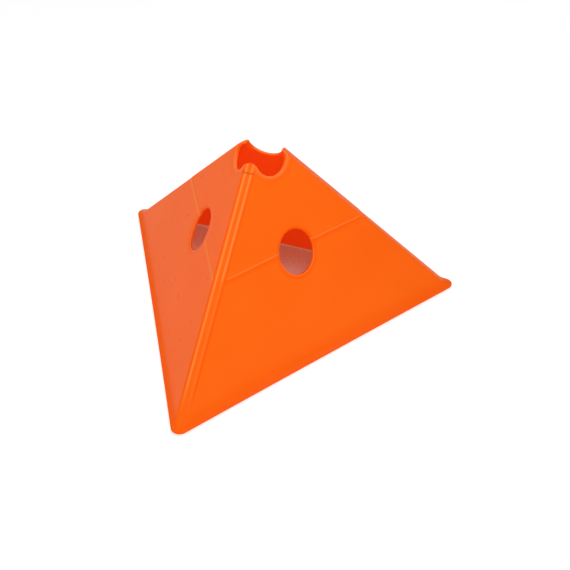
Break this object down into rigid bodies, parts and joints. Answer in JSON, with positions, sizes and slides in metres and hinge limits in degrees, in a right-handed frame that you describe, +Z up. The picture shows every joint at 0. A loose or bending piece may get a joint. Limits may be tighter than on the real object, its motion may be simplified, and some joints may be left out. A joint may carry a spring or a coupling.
{
  "type": "roof wedge",
  "caption": "Hollow three-sided pyramid roof wedge in moulded plastic with round hand holes, an open scalloped apex and a foam grip pad under its flared base.",
  "frame": {"origin": "centre of the base, on the underside of the foam pad that the wedge stands on", "axes": "+Z up through the open apex; +X along the back base side; one base corner points to -Y and one face looks to +Y"},
  "size_m": [0.61, 0.532, 0.312],
  "materials": {
    "orange_plastic": "satin moulded polyethylene",
    "grey_foam": "open-cell polyether foam",
    "adhesive": "dried flexible adhesive"
  },
  "bodies": {
    "root": {"shell": "orange_plastic", "foam_pad": "grey_foam", "adhesive_bead": "adhesive"}
  },
  "joints": []
}
